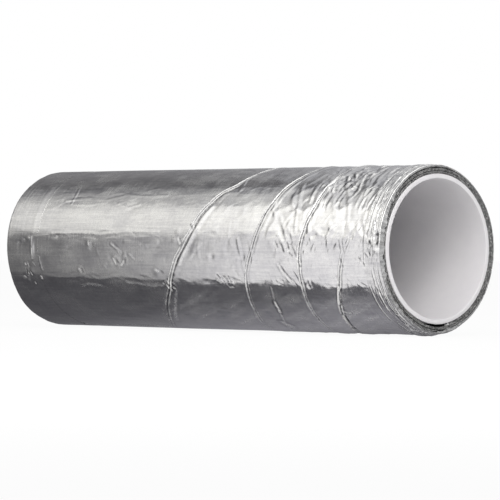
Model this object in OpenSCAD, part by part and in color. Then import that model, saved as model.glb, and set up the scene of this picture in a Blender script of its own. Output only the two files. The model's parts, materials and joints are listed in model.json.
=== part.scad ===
// Insulated air duct: a smooth plastic liner pipe, a foil-faced foam sheet wound round it,
// and aluminium tapes that close the sheet and its ends.
// The pipe's axis is X, its middle is the origin, and +X is the end where the spiral tape finishes.
// Angles are read from +Y towards +Z, which is anticlockwise when one looks into the +X end.

/* [Liner pipe] */
// Length of the liner pipe, which is the length of the duct
duct_length = 500; // [400:10:1000]
// Bore of the liner pipe
pipe_bore = 124; // [80:1:200]
// Wall of the liner pipe
pipe_wall = 4; // [2:0.1:8]
// Chamfer on the inner and outer edges of the pipe's two ends
mouth_chamfer = 0.5; // [0.1:0.1:0.9]

/* [Insulation sheet] */
// Thickness of the foam in the sheet
foam_thickness = 2; // [1:0.05:6]
// Thickness of the foil facing on the foam
facing_thickness = 0.15; // [0.05:0.05:0.5]
// Turns of the sheet round the pipe
sheet_turns = 3; // [2:0.25:6]
// Angle of the sheet's first edge
sheet_start = -82; // [-180:1:180]
// Arc over which a turn climbs onto the sheet's first edge
climb_arc = 44; // [20:1:90]
// Air gap between turns where they lie tightest
tight_gap = 0.3; // [0.3:0.05:1]
// Air gap between turns where they lie slackest
slack_gap = 0.8; // [0.3:0.05:2]
// Angle at which the turns lie tightest
tight_angle = -10; // [-180:1:180]
// Distance from the pipe's end back to the sheet's end
sheet_setback = 0.8; // [0.5:0.1:20]

/* [Tapes] */
// Thickness of every tape
tape_thickness = 0.25; // [0.1:0.05:0.5]
// Clearance between pieces that lie on each other
lay_gap = 0.05; // [0.02:0.01:0.1]
// How far the first-edge tape reaches to each side of the sheet's first edge
start_tape_reach = 14; // [5:1:30]
// Thickness of the first-edge tape
start_tape_thickness = 0.2; // [0.1:0.05:0.2]
// Width of the closing tape along the sheet's last edge
closing_tape_width = 48; // [20:1:100]
// Arc over which the tapes come down from the sheet's last edge
bridge_arc = 24; // [10:1:60]
// Width of the collar tape on the +X end
near_collar_width = 20; // [10:1:60]
// Width of the collar tape on the -X end
far_collar_width = 45; // [10:1:80]
// How far each collar is turned in over the sheet's end
collar_lip = 1.5; // [0.5:0.1:5]
// How far each turn of the spiral tape laps over the turn before
tape_lap = 10; // [4:1:15]
// Length of the step where a lap comes down to the sheet
lap_step = 2; // [0.5:0.1:4]

/* [Hidden] */
$fn = 180;

// Every wound outline has its corners at this step from the sheet's first edge, so that the flats
// of neighbours lie parallel.
corner_step = 6;
// A chord between two corners lies this factor inside its arc.
chord_inset = cos(corner_step / 2);

pipe_r = pipe_bore / 2 + pipe_wall;
// Corners of the first turn stand off so that its flats clear the round pipe.
first_r = pipe_r / chord_inset + lay_gap;
sheet_thickness = foam_thickness + facing_thickness;
sheet_length = duct_length - 2 * sheet_setback;
sheet_sweep = 360 * sheet_turns;
sheet_end = sheet_start + sheet_sweep;
tape_layer = tape_thickness + lay_gap;
wrap_r = first_r + sheet_turns * (sheet_thickness + tight_gap);

// The far edge of the spiral tape, as [angle wound from the top, distance from the +X end].
// It was wound by hand, so its lead changes from side to side.
TAPE_EDGE = [[50, 15], [85, 34], [120, 54], [167, 82], [390, 80], [437, 90], [490, 98], [745, 129],
    [785, 145], [829, 165], [874, 188], [1093, 185], [1146, 233], [1191, 274], [1250, 327]];
top_angle = 90;

// From 0 to 1 with level ends
function ease(x) = let (c = min(max(x, 0), 1)) c * c * (3 - 2 * c);
function wrap360(a) = a - 360 * floor(a / 360);
function polar(r, a) = [r * cos(a), r * sin(a)];
// Which corner an angle lies at, counted from the sheet's first edge
function corner_number(a) = (a - sheet_start) / corner_step;
function corner_angle(k) = sheet_start + k * corner_step;
// The two end angles and every corner angle between them
function corners(a, b) = concat(
    [a],
    [for (k = [floor(corner_number(a)) + 1 : 1 : ceil(corner_number(b)) - 1]) corner_angle(k)],
    [b]);
// Radius at an angle on the flats that join the corners of an outline
function flat_r(outline, a) =
    let (a0 = corner_angle(floor(corner_number(a))), a1 = a0 + corner_step,
        r0 = outline(a0), r1 = outline(a1))
    r0 * r1 * sin(corner_step) / (r0 * sin(a - a0) + r1 * sin(a1 - a));

// Radial pitch of the turns at an angle: tight on one side, slack on the other
function turn_pitch(a) =
    sheet_thickness + tight_gap + (slack_gap - tight_gap) * (1 - cos(a - tight_angle)) / 2;
// How many turns lie under the sheet after it has been wound by an angle
function turns_under(wound) = floor(wound / 360) + ease((wrap360(wound) - 360 + climb_arc) / climb_arc);
// Inner radius of the sheet after it has been wound by an angle
function sheet_r(wound) = first_r + turns_under(wound) * turn_pitch(sheet_start + wound);
// Radius of the outermost turn, with the slope that a tape takes down from the last edge
cover = function (a)
    let (past = wrap360(a - sheet_end))
    past < bridge_arc
        ? sheet_r(sheet_sweep + past) + sheet_thickness - ease(past / bridge_arc) * turn_pitch(a)
        : sheet_r(sheet_sweep + past - 360) + sheet_thickness;
function cover_r(a) = flat_r(cover, a);

// Half the arc of the closing tape, and the share of its thickness that a tape over it is lifted by
closing_half_arc = closing_tape_width / 2 / wrap_r * 180 / PI;
function closing_lift(a) =
    let (away = abs(wrap360(a - sheet_end + 180) - 180))
    min(max((closing_half_arc + 2 * corner_step - away) / corner_step, 0), 1);
// Radius on which the spiral tape and the collars lie
skin = function (a) cover(a) + lay_gap + closing_lift(a) * tape_layer;
function skin_r(a) = flat_r(skin, a);

// A strip that follows radius function values r_in and r_out over a list of angles
function strip(angles, r_in, r_out) = concat(
    [for (i = [0 : len(angles) - 1]) polar(r_out[i], angles[i])],
    [for (i = [len(angles) - 1 : -1 : 0]) polar(r_in[i], angles[i])]);

// Extrudes an outline drawn in the YZ plane along X, centred on the origin
module along_x(length, from) {
    translate([from, 0, 0]) rotate([90, 0, 90]) linear_extrude(length) children();
}

// The liner is a length of smooth rigid pipe with its cut edges chamfered.
module liner_pipe() {
    inner = pipe_bore / 2;
    half = duct_length / 2;
    c = min(mouth_chamfer, pipe_wall / 3);
    color("white") rotate([0, 90, 0]) rotate_extrude()
        polygon([[inner + c, -half], [pipe_r - c, -half], [pipe_r, -half + c], [pipe_r, half - c],
            [pipe_r - c, half], [inner + c, half], [inner, half - c], [inner, -half + c]]);
}

// A strip of tape holds the sheet's first edge: along the pipe, up the cut edge and over the sheet.
module start_tape() {
    t = start_tape_thickness;
    reach = start_tape_reach / first_r * 180 / PI;
    edge = sheet_start - lay_gap;
    rise = t / first_r * 180 / PI;
    sheet_top = first_r + sheet_thickness + lay_gap;
    on_sheet = corners(edge, sheet_start + reach);
    outside = concat(
        [for (a = corners(edge - reach, edge - rise)) polar(first_r + t, a)],
        [polar(sheet_top + t, edge - rise)],
        [for (a = on_sheet) polar(sheet_top + t, a)]);
    inside = concat(
        [for (a = corners(edge - reach, edge)) polar(first_r, a)],
        [for (a = on_sheet) polar(sheet_top, a)]);
    color([0.8, 0.81, 0.83]) along_x(sheet_length, -sheet_length / 2)
        polygon(concat(outside, [for (i = [len(inside) - 1 : -1 : 0]) inside[i]]));
}

// The sheet's foam is wound in one length, tight on one side and slack on the other.
module foam_sheet() {
    angles = corners(sheet_start, sheet_end);
    r_in = [for (a = angles) sheet_r(a - sheet_start)];
    color([0.22, 0.22, 0.23]) along_x(sheet_length, -sheet_length / 2)
        polygon(strip(angles, r_in, [for (r = r_in) r + foam_thickness]));
}

// The foil facing is laminated to the outside of the foam and is wound with it.
module foil_facing() {
    angles = corners(sheet_start, sheet_end);
    r_in = [for (a = angles) sheet_r(a - sheet_start) + foam_thickness];
    color([0.72, 0.73, 0.75]) along_x(sheet_length, -sheet_length / 2)
        polygon(strip(angles, r_in, [for (r = r_in) r + facing_thickness]));
}

// A lengthwise tape closes the sheet along its last edge.
module closing_tape() {
    angles = corners(sheet_end - closing_half_arc, sheet_end + closing_half_arc);
    r_in = [for (a = angles) cover_r(a) + lay_gap];
    color([0.78, 0.79, 0.81]) along_x(sheet_length, -sheet_length / 2)
        polygon(strip(angles, r_in, [for (r = r_in) r + tape_thickness]));
}

// A collar tape round one end, turned in over the end of the sheet.
// side is 1 at the +X end and -1 at the -X end; layers counts the tapes that lie under it.
module collar(side, width, layers) {
    angles = corners(sheet_start, sheet_start + 360);
    r_in = [for (a = angles) skin_r(a) + layers * tape_layer];
    r_out = [for (r = r_in) r + tape_thickness];
    end = sheet_length / 2 + lay_gap;
    mirror([side > 0 ? 0 : 1, 0, 0]) {
        along_x(width, end - width) ring(angles, r_in, r_out);
        along_x(tape_thickness, end) ring(angles, [for (r = r_in) r - collar_lip], r_out);
    }
}

// A closed ring between two outlines; the last angle repeats the first
module ring(angles, r_in, r_out) {
    difference() {
        polygon([for (i = [0 : len(angles) - 2]) polar(r_out[i], angles[i])]);
        polygon([for (i = [0 : len(angles) - 2]) polar(r_in[i], angles[i])]);
    }
}

module near_collar() {
    color([0.82, 0.83, 0.85]) collar(1, near_collar_width, 2);
}

module far_collar() {
    color([0.82, 0.83, 0.85]) collar(-1, far_collar_width, 0);
}

// Distance of the spiral tape's far edge from the +X end after it has been wound by an angle
tape_first = TAPE_EDGE[0][0];
tape_last = TAPE_EDGE[len(TAPE_EDGE) - 1][0];
function edge_at(w) = lookup(w, TAPE_EDGE);
// Its near edge: the end of the sheet on the last turn, and under the next turn's lap before that
function near_edge_at(w) = w - 360 < tape_first - corner_step
    ? 0
    : edge_at(max(w - 360, tape_first)) - tape_lap;
// A lap is raised only while the turn before it lies underneath.
function lap_raise(w) =
    min(max((tape_last - 360 + 2 * corner_step - w) / corner_step, 0), 1) * tape_layer;
// One cross-section of the tape: four points on its outside, then four on its inside
function tape_section(w) =
    let (a = w + top_angle, r = skin_r(a), up = lap_raise(w), far = edge_at(w),
        flat_end = far - tape_lap - lap_step / 2, down_end = flat_end - lap_step,
        side = [[far, r + up], [flat_end, r + up], [down_end, r], [near_edge_at(w), r]])
    concat(
        [for (p = side) tape_point(p[0], p[1] + tape_thickness, a)],
        [for (i = [3 : -1 : 0]) tape_point(side[i][0], side[i][1], a)]);
function tape_point(s, r, a) = [sheet_length / 2 - s, r * cos(a), r * sin(a)];

// The spiral tape is one long strip whose turns lap towards the -X end.
module spiral_tape() {
    wound = [for (a = corners(tape_first + top_angle, tape_last + top_angle)) a - top_angle];
    sections = [for (w = wound) tape_section(w)];
    n = len(sections[0]);
    last = len(sections) - 1;
    sides = [for (i = [0 : last - 1], j = [0 : n - 1], half = [0, 1])
        let (a = i * n + j, b = a + n, c = (i + 1) * n + (j + 1) % n, d = c - n)
        half == 0 ? [c, b, a] : [d, c, a]];
    start_cap = [for (j = [n - 1 : -1 : 0]) j];
    end_cap = [for (j = [0 : n - 1]) last * n + j];
    color([0.84, 0.85, 0.87])
        polyhedron([for (s = sections) each s], concat(sides, [start_cap, end_cap]), convexity = 10);
}

liner_pipe();
start_tape();
foam_sheet();
foil_facing();
closing_tape();
spiral_tape();
near_collar();
far_collar();
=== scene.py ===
"""An insulated air duct: a white liner pipe in a wound foil-faced foam sheet, closed with foil tapes.

The pipe's axis is X and +X is the near end. Lengths here are millimetres and angles are degrees, read from
+Y towards +Z; a place on the skin is given by its distance from the near end and its angle. The camera and
the studio are in metres.
"""
import math

import bpy
import numpy as np
from mathutils import Matrix, Vector, noise
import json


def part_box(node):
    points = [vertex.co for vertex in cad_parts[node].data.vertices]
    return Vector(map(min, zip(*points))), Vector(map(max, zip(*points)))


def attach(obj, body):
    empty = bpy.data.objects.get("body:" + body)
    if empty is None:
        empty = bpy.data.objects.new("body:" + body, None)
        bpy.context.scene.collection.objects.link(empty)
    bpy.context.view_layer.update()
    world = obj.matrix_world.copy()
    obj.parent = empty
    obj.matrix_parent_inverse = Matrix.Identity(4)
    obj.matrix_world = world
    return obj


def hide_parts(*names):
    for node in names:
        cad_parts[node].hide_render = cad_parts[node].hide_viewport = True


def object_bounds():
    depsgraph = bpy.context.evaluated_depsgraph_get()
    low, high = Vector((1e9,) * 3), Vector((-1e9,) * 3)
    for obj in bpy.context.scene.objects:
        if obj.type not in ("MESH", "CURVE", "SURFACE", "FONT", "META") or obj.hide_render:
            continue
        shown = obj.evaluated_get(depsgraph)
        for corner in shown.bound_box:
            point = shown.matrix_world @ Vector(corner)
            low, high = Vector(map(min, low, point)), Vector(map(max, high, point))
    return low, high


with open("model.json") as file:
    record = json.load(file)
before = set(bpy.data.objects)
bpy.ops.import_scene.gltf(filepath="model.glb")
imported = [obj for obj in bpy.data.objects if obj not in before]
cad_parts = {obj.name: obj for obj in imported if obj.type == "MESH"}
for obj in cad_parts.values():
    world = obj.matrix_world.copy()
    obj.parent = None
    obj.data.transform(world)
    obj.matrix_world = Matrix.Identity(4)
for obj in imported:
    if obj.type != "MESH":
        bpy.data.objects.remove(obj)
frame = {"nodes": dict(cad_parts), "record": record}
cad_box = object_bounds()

# ---------------------------------------------------------------- Liner pipe
# A length of extruded white plastic pipe, sawn off square, with the sharp edges of the cut taken off.
# Everything else on the duct is wound or taped round it.

MM = 0.001
PIPE_WALL = 4.0
PIPE_CHAMFER = 0.5
PIPE_STEPS = 288  # round the pipe
PIPE_RUN_STEPS = 26  # along it
PIPE_COLOUR = (0.76, 0.75, 0.765, 1)
SHARP_OVER = 50  # degrees between two faces at which their edge stays sharp
bore_mount = next(m for m in frame["record"]["mounts"] if m["name"] == "bore")
bore_radius = bore_mount["dims"]["r_mm"]
pipe_radius = bore_radius + PIPE_WALL
half_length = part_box("liner_pipe")[1].x / MM


def ring_angles(count):
    return np.linspace(0, 360, count, endpoint=False)


def put_in_scene(name, data):
    """A new object that holds a mesh, lamp or camera."""
    made = bpy.data.objects.new(name, data)
    bpy.context.scene.collection.objects.link(made)
    return made


def swept_solid(name, finish, angles, along, radius, closed=False):
    """A solid swept round the axis. Each row of along and radius is one closed section at an angle."""
    rows, points = along.shape
    turn = np.radians(angles)[:, None]
    corners = np.stack([along, radius * np.cos(turn), radius * np.sin(turn)], -1).reshape(-1, 3) * MM
    row, point = np.meshgrid(np.arange(rows if closed else rows - 1), np.arange(points), indexing="ij")
    row, point = row.ravel(), point.ravel()
    next_row, next_point = (row + 1) % rows, (point + 1) % points
    faces = np.stack([row * points + point, row * points + next_point,
                      next_row * points + next_point, next_row * points + point], -1).tolist()
    if not closed:
        faces.append(list(range(points))[::-1])
        faces.append([(rows - 1) * points + k for k in range(points)])
    mesh = bpy.data.meshes.new(name)
    mesh.from_pydata(corners.tolist(), [], faces)
    lay_out_flat(mesh, row, point, rows, points)
    mesh.materials.append(finish)
    mesh.shade_smooth()
    mesh.set_sharp_from_angle(angle=math.radians(SHARP_OVER))
    return put_in_scene(name, mesh)


def lay_out_flat(mesh, row, point, rows, points):
    """The unrolled map: across is the way round the duct, up is the way round the section."""
    unrolled = mesh.uv_layers.new(name="OFBake")
    u = np.stack([row, row, row + 1, row + 1], -1) / rows
    v = np.stack([point, point + 1, point + 1, point], -1) / points
    flat = np.zeros((len(mesh.loops), 2), np.float32)
    flat[:u.size] = np.stack([u, v], -1).reshape(-1, 2)
    unrolled.uv.foreach_set("vector", flat.ravel())


class Shade:
    """A socket of a material's nodes. Sums on it add Math nodes, and node() adds any other node."""

    def __init__(self, tree, socket=None):
        self.tree, self.socket = tree, socket

    def node(self, kind, settings=(), values=(), out=0):
        made = self.tree.nodes.new(kind)
        for key, value in dict(settings).items():
            if key == "stops":
                self.set_stops(made.color_ramp, value)
            else:
                setattr(made, key, value)
        for key, value in dict(values).items():
            if isinstance(value, Shade):
                self.tree.links.new(value.socket, made.inputs[key])
            else:
                made.inputs[key].default_value = value
        return Shade(self.tree, made.outputs[out])

    @staticmethod
    def set_stops(ramp, stops):
        for place, colour in stops[1:-1]:
            ramp.elements.new(place)
        for element, (place, colour) in zip(ramp.elements, stops):
            element.position, element.color = place, colour

    def math(self, operation, *values):
        return self.node("ShaderNodeMath", {"operation": operation}, enumerate(values))

    def __add__(self, other):
        return self.math("ADD", self, other)

    def __sub__(self, other):
        return self.math("SUBTRACT", self, other)

    def __rsub__(self, other):
        return self.math("SUBTRACT", other, self)

    def __mul__(self, other):
        return self.math("MULTIPLY", self, other)

    __radd__ = __add__
    __rmul__ = __mul__


def new_finish(name, base, **constants):
    """A material with one Principled shader: returns it, its nodes and a function that feeds a socket."""
    finish = bpy.data.materials.new(name)
    finish.use_nodes = True
    here = Shade(finish.node_tree)
    shader = finish.node_tree.nodes["Principled BSDF"]
    shader.inputs["Base Color"].default_value = base
    for key, value in constants.items():
        shader.inputs[key.replace("_", " ")].default_value = value

    def feed(key, value):
        here.tree.links.new(value.socket, shader.inputs[key])

    return finish, here, feed


def grain(here, across, around, detail=2.0, rough=0.5):
    """Noise from 0 to 1 whose cells are so many millimetres long along the duct and round it."""
    place = here.node("ShaderNodeNewGeometry", out="Position")
    scale = (1 / (across * MM), 1 / (around * MM), 1 / (around * MM))
    stretched = here.node("ShaderNodeVectorMath", {"operation": "MULTIPLY"}, {0: place, 1: scale})
    return here.node("ShaderNodeTexNoise", values={
        "Vector": stretched, "Scale": 1.0, "Detail": detail, "Roughness": rough})


def raised(here, height, depth, under=None):
    """A Bump node: height from 0 to 1 stands for a depth in millimetres."""
    values = {"Height": height, "Distance": depth * MM, "Strength": 1.0}
    if under is not None:
        values["Normal"] = under
    return here.node("ShaderNodeBump", values=values)


def between(here, factor, first, second):
    """A colour mixed between two."""
    return here.node("ShaderNodeMix", {"data_type": "RGBA"}, {0: factor, 6: first, 7: second}, out=2)


def white_plastic():
    """Drawn lengthwise by the extruder, with a trace of dust."""
    finish, here, feed = new_finish("liner_white", PIPE_COLOUR, Roughness=0.38, IOR=1.5)
    drawn = grain(here, 60, 2.5)
    dust = grain(here, 9, 9, detail=4)
    feed("Base Color", between(here, dust, (0.735, 0.725, 0.745, 1), (0.785, 0.775, 0.785, 1)))
    feed("Roughness", 0.32 + 0.12 * dust)
    feed("Normal", raised(here, drawn, 0.02))
    return finish


def pipe_section():
    """The wall's outline at one angle: outside, near cut, bore and far cut, with its edges taken off."""
    c = PIPE_CHAMFER
    turn = np.radians([0, 30, 60, 90])
    run = np.linspace(-half_length + c, half_length - c, PIPE_RUN_STEPS)
    out, away = c * np.cos(turn), c * np.sin(turn)
    along = np.concatenate([run, half_length - c + away[1:], half_length - c + away[::-1],
                            run[::-1][1:], c - half_length - away[1:], c - half_length - away[::-1][:-1]])
    radius = np.concatenate([0 * run + pipe_radius, pipe_radius - c + out[1:], bore_radius + c - out[::-1],
                             0 * run[1:] + bore_radius, bore_radius + c - out[1:],
                             pipe_radius - c + out[::-1][:-1]])
    return along, radius


section_along, section_radius = pipe_section()
liner = swept_solid("liner", white_plastic(), ring_angles(PIPE_STEPS),
                    np.tile(section_along, (PIPE_STEPS, 1)), np.tile(section_radius, (PIPE_STEPS, 1)),
                    closed=True)
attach(liner, "root")
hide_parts("liner_pipe")

# ---------------------------------------------------------------- First-edge tape
# A strip of foil tape that holds the sheet's first edge down on the pipe. The first turn of the sheet
# buries it, so that only its cut ends show, close under the pipe at both ends of the duct.


def spread(here, value, low, high):
    """Stretches what lies between low and high to the whole of 0 to 1."""
    return here.node("ShaderNodeMapRange", values={"Value": value, "From Min": low, "From Max": high})


def strewn_over(here, across, around, detail=3, half_range=0.16):
    """The same kind of noise, stretched so that it reaches from 0 to 1."""
    return spread(here, grain(here, across, around, detail, 0.6), 0.5 - half_range, 0.5 + half_range)


def foil(name, tone, dullness, marks=0.0, crinkle=0.0, scuffed=0.0, mottled=0.2):
    """Aluminium foil. Marks are the fine lines of rolling and rubbing, crinkle the folds of handling, both
    in millimetres. Where paint() stored them, a dull white is painted on, which is painted highlight and
    partly wear, and a near black, which is painted shade and partly grime."""
    finish, here, feed = new_finish(name, (tone, tone, tone, 1), Metallic=1.0)
    cloud = strewn_over(here, 30, 15, detail=5, half_range=0.14)
    lines = strewn_over(here, 1.5, 36)
    streaks = strewn_over(here, 45, 1.7)
    specks = strewn_over(here, 3.2, 2.6)
    wide_folds = (grain(here, 17, 30, detail=1.5) - 0.5).math("ABSOLUTE")
    small_folds = (grain(here, 5, 11, detail=2) - 0.5).math("ABSOLUTE")
    handled = spread(here, grain(here, 38, 26, detail=2), 0.42, 0.6)
    rubbed = here.node("ShaderNodeAttribute", {"attribute_name": "rubbed"}, out="Fac")
    grimy = here.node("ShaderNodeAttribute", {"attribute_name": "grimy"}, out="Fac")
    feed("Roughness", dullness + scuffed * cloud + 0.05 * lines + 0.4 * rubbed)
    feed("Metallic", 1 - 0.8 * rubbed)
    low, high = tone * (1 - mottled), min(tone * (1 + 0.6 * mottled), 1.0)
    clean = between(here, 0.4 * cloud + 0.12 * lines + 0.28 * streaks + 0.2 * specks,
                    (low, low, low * 1.03, 1), (high, high, high * 0.975, 1))
    # A dull white painted over the first stored share (painted highlight, partly wear), then a near black
    # over the second (painted shade, partly grime)
    marked_light_and_wear = between(here, rubbed, clean, (0.93, 0.93, 0.92, 1))
    feed("Base Color", between(here, grimy, marked_light_and_wear, (0.07, 0.07, 0.075, 1)))
    folds = 1.5 * wide_folds + 0.35 * small_folds * handled
    rolled = 0.4 * lines + 0.6 * streaks
    feed("Normal", raised(here, rolled, marks, raised(here, folds, crinkle)))
    return finish


start_tape = frame["nodes"]["start_tape"]
start_tape.data.materials.clear()
start_tape.data.materials.append(foil("first_edge_foil", tone=0.85, dullness=0.2))

# ---------------------------------------------------------------- Foam sheet
# One length of closed-cell foam, wound three turns round the pipe from its first edge at the bottom. It
# lies tighter on one side than on the other, and its knife-cut ends are a little uneven.

SHEET_START, SHEET_TURNS = -82, 3
CLIMB_ARC = 44  # over which each turn climbs onto the first edge
FOAM_THICKNESS, FACING_THICKNESS = 2.0, 0.15
TIGHT_GAP, SLACK_GAP, TIGHT_ANGLE = 0.3, 0.8, -10  # between turns, and where they lie tightest
LAY_GAP, TAPE_THICKNESS = 0.05, 0.25
BRIDGE_ARC = 24  # over which a tape slopes down from the last edge
FIRST_GAP = 0.14  # between the pipe and the sheet, where the first-edge tape lies
CLOSING_HALF_ARC = 18.6
SHOULDER = 1.0  # radius to which the wrap's edges are pressed over at both ends
TOP_ANGLE = 90
FRONT_FROM, FRONT_TO = 85, 275  # angles of the side that gets the finest rows
SKIN_ROUND = 75  # radius that sets the size of the noise round the skin
DEGREE = 1.31  # millimetres round the skin for one degree
sheet_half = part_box("foam_sheet")[1].x / MM
collar_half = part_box("near_collar")[1].x / MM
first_radius = pipe_radius + FIRST_GAP
sheet_thickness = FOAM_THICKNESS + FACING_THICKNESS
sheet_sweep = 360 * SHEET_TURNS
sheet_end = SHEET_START + sheet_sweep


def ease(x):
    """A smooth step from 0 to 1."""
    c = np.clip(x, 0, 1)
    return c * c * (3 - 2 * c)


def bell(place, middle, wide):
    """A smooth hump of height 1."""
    return np.exp(-((place - middle) / wide) ** 2)


def angle_away(angle, middle):
    """Degrees from the middle, from -180 to 180."""
    return np.mod(angle - middle + 180, 360) - 180


def turn_pitch(angle):
    """What one turn of the sheet adds to the radius."""
    slack = (1 - np.cos(np.radians(angle - TIGHT_ANGLE))) / 2
    return sheet_thickness + TIGHT_GAP + (SLACK_GAP - TIGHT_GAP) * slack


def sheet_radius(wound):
    """Inner radius of the sheet after it has been wound by an angle; it climbs over its first edge."""
    rest = np.mod(wound, 360)
    turns = np.floor(wound / 360) + ease((rest - 360 + CLIMB_ARC) / CLIMB_ARC)
    return first_radius + turns * turn_pitch(SHEET_START + wound)


def cover_radius(angle):
    """Radius of the outermost turn, with the slope that a tape takes down from the last edge."""
    past = np.mod(angle - sheet_end, 360)
    on_slope = sheet_radius(sheet_sweep + past) - ease(past / BRIDGE_ARC) * turn_pitch(angle)
    return np.where(past < BRIDGE_ARC, on_slope, sheet_radius(sheet_sweep + past - 360)) + sheet_thickness


def skin_radius(angle):
    """Radius on which the spiral tape and the collars lie."""
    away = np.abs(angle_away(angle, sheet_end))
    lift = np.clip((CLOSING_HALF_ARC + 12 - away) / 6, 0, 1)
    return cover_radius(angle) + LAY_GAP + lift * (TAPE_THICKNESS + LAY_GAP)


def waves(along, angle, reach, octaves=2):
    """Smooth noise from about -1 to 1; reach is its wavelength along the duct and round it."""
    along, angle = np.broadcast_arrays(along, angle)
    turn, size = np.radians(angle), SKIN_ROUND / reach[1]
    places = np.stack([along / reach[0], size * np.cos(turn), size * np.sin(turn)], -1)
    level = [noise.fractal(p, 1.0, 2.0, octaves) for p in places.reshape(-1, 3).tolist()]
    return np.array(level).reshape(turn.shape)


def shoulder_drop(along):
    """How far the wrap's rounded edge lies below the skin near either end."""
    inside = np.clip(SHOULDER - (collar_half - np.abs(along)), 0, SHOULDER)
    return SHOULDER - np.sqrt(SHOULDER ** 2 - inside ** 2)


def skin_place(along, angle):
    """Distance from the near end, and the way down the front from the top, both in millimetres."""
    return half_length - along, angle_away(angle, TOP_ANGLE) * DEGREE


# Dents in the wrap: distance from the near end, degrees down the front, half length, half width, depth
DENTS = [
    (346, 101, 2.8, 2.6, 0.3), (341, 103, 2.2, 2.4, -0.5), (335, 98, 2.6, 2.4, 0.25), (330, 95, 2, 2, -0.4),
    (397, 107, 2.6, 2.3, -0.4), (392, 106, 2.2, 2, 0.3), (381, 87, 2.8, 2.4, -0.4),
    (376, 89, 2.2, 2.2, 0.3), (359, 104, 2.6, 2.4, -0.35), (355, 102, 2, 2, 0.25),
    (322, 95, 2.4, 1.8, -0.4), (350, 97, 2.4, 2.2, 0.3), (290, 107, 4.2, 3, -0.5), (284, 108, 3.2, 3, 0.4),
    (275, 117, 3, 3, -0.7), (280, 119, 2.2, 2.2, 0.4), (272, 119, 2, 2, 0.35), (278, 114, 2, 2, 0.3),
    (258, 79, 2.6, 3, -0.6), (262, 84, 2.4, 2.4, -0.4), (200, 112, 4, 3.2, 0.5), (195, 115, 4, 3.2, -0.5),
    (189, 113, 3, 3, 0.4), (207, 113, 3, 3, -0.4), (226, 125, 24, 9, -0.8), (244, 117, 9, 4, -0.35),
    (222, 115, 7, 4, 0.3), (146, 114, 6, 4, 0.3), (136, 118, 5, 4, -0.4), (88, 118, 6, 4, 0.35),
    (40, 120, 9, 5, 0.35), (56, 116, 5, 4, -0.3), (212, 96, 2.8, 2.8, 0.4), (216, 98, 2.4, 2.4, -0.4),
    (172, 97, 3, 3, 0.4), (168, 98, 2.4, 2.8, -0.5), (478, 112, 2.6, 2.2, 0.4), (474, 116, 2.2, 2.2, -0.4),
    (470, 104, 2.4, 3.4, 0.4), (466, 108, 2.2, 2.4, -0.5), (468, 117, 2.2, 2.2, 0.3),
    (455, 115, 2.4, 2.4, -0.4), (462, 91, 2, 7, -0.35), (458, 91, 2, 7, 0.2), (451, 102, 1.6, 5, -0.35),
    (481, 87, 2, 2, 0.3), (474, 85, 2, 2, 0.25), (467, 84, 2, 2, -0.3), (4, 83, 3, 6, 1),
    (4, 93, 2.5, 4, -0.7), (142, 109, 4, 3, 0.5), (427, 82, 2.4, 1.8, 0.2), (228, 57, 9, 5, 0.25),
    (330, 60, 8, 5, 0.2), (62, 112, 6, 4, 0.5), (30, 92, 5, 4, 0.4), (150, 71, 9, 8, 0.3),
    (122, 74, 9, 9, 0.4), (70, 66, 9, 9, 0.4), (45, 70, 9, 8, 0.5), (28, 64, 8, 9, 0.4),
    (95, 75, 8, 8, 0.35), (160, 158, 3, 4, -0.6), (118, 121, 26, 9, 0.75), (166, 122, 16, 8, 0.4)]

# How far the outer turn lies below its round winding
SETTLE = 0.3
LEAST_LIE, EASED = 0.1, 9  # it never lies much higher than this, and bends towards it smoothly
FLUTES = [(0.15, 0, (90, 50), 2), (0.16, 900, (60, 15), 2), (0.07, 500, (42, 5.5), 3)]  # depth and noise
FAR_DROP, FAR_FROM, FAR_OVER = 0.5, 400, 80  # more towards the far end
RIM_DROP, RIM_REACH, RIM_SPREAD = 0.3, 12, 27  # more in the last few millimetres at the near rim
RIM_SETTLED = [(1.9, -86), (-0.5, -42), (1.1, 54)]  # and there more or less at these angles
SWOLLEN = [(1.9, 232, 22, 450, 40), (1.1, 143, 24, 415, 80)]  # height, angle, its spread, start and rise


def lie(along, angle):
    """How far the outer turn lies below its round winding: settled, fluted lengthwise and dented."""
    distance, down = skin_place(along, angle)
    drop = SETTLE
    for depth, shift, reach, octaves in FLUTES:
        drop = drop + depth * waves(along + shift, angle, reach, octaves)
    for at, below, length, width, depth in DENTS:
        drop = drop + depth * bell(distance, at, length) * bell(down, below * DEGREE, width)
    drop = drop + FAR_DROP * ease((distance - FAR_FROM) / FAR_OVER)
    settled = RIM_DROP
    for depth, middle in RIM_SETTLED:
        settled = settled + depth * bell(angle_away(angle, middle), 0, RIM_SPREAD)
    drop = drop + bell(distance, 0, RIM_REACH) * settled
    swollen = 0
    for height, middle, wide, start, rise in SWOLLEN:
        hump = bell(angle_away(angle, middle), 0, wide)
        swollen = swollen + height * hump * ease((distance - start) / rise)
    drop = LEAST_LIE + np.logaddexp(0, EASED * (drop - LEAST_LIE)) / EASED
    return drop + shoulder_drop(along) - swollen


TAPED_TO = 180  # distance from the near end up to which the spiral tape covers the whole skin
UNDER_TAPE = 1.1


def lie_below(along, angle):
    """The same, but lower where the spiral tape covers it, so that no crumple in the tape brings it out."""
    distance = half_length - along
    return lie(along, angle) + UNDER_TAPE * ease((TAPED_TO - distance) / 12) * ease((distance - 3) / 6)


def ramp(here, value, stops):
    """Turns a value into a colour; each stop is a value and its colour."""
    return here.node("ShaderNodeValToRGB", {"stops": stops}, {"Fac": value})


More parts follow.
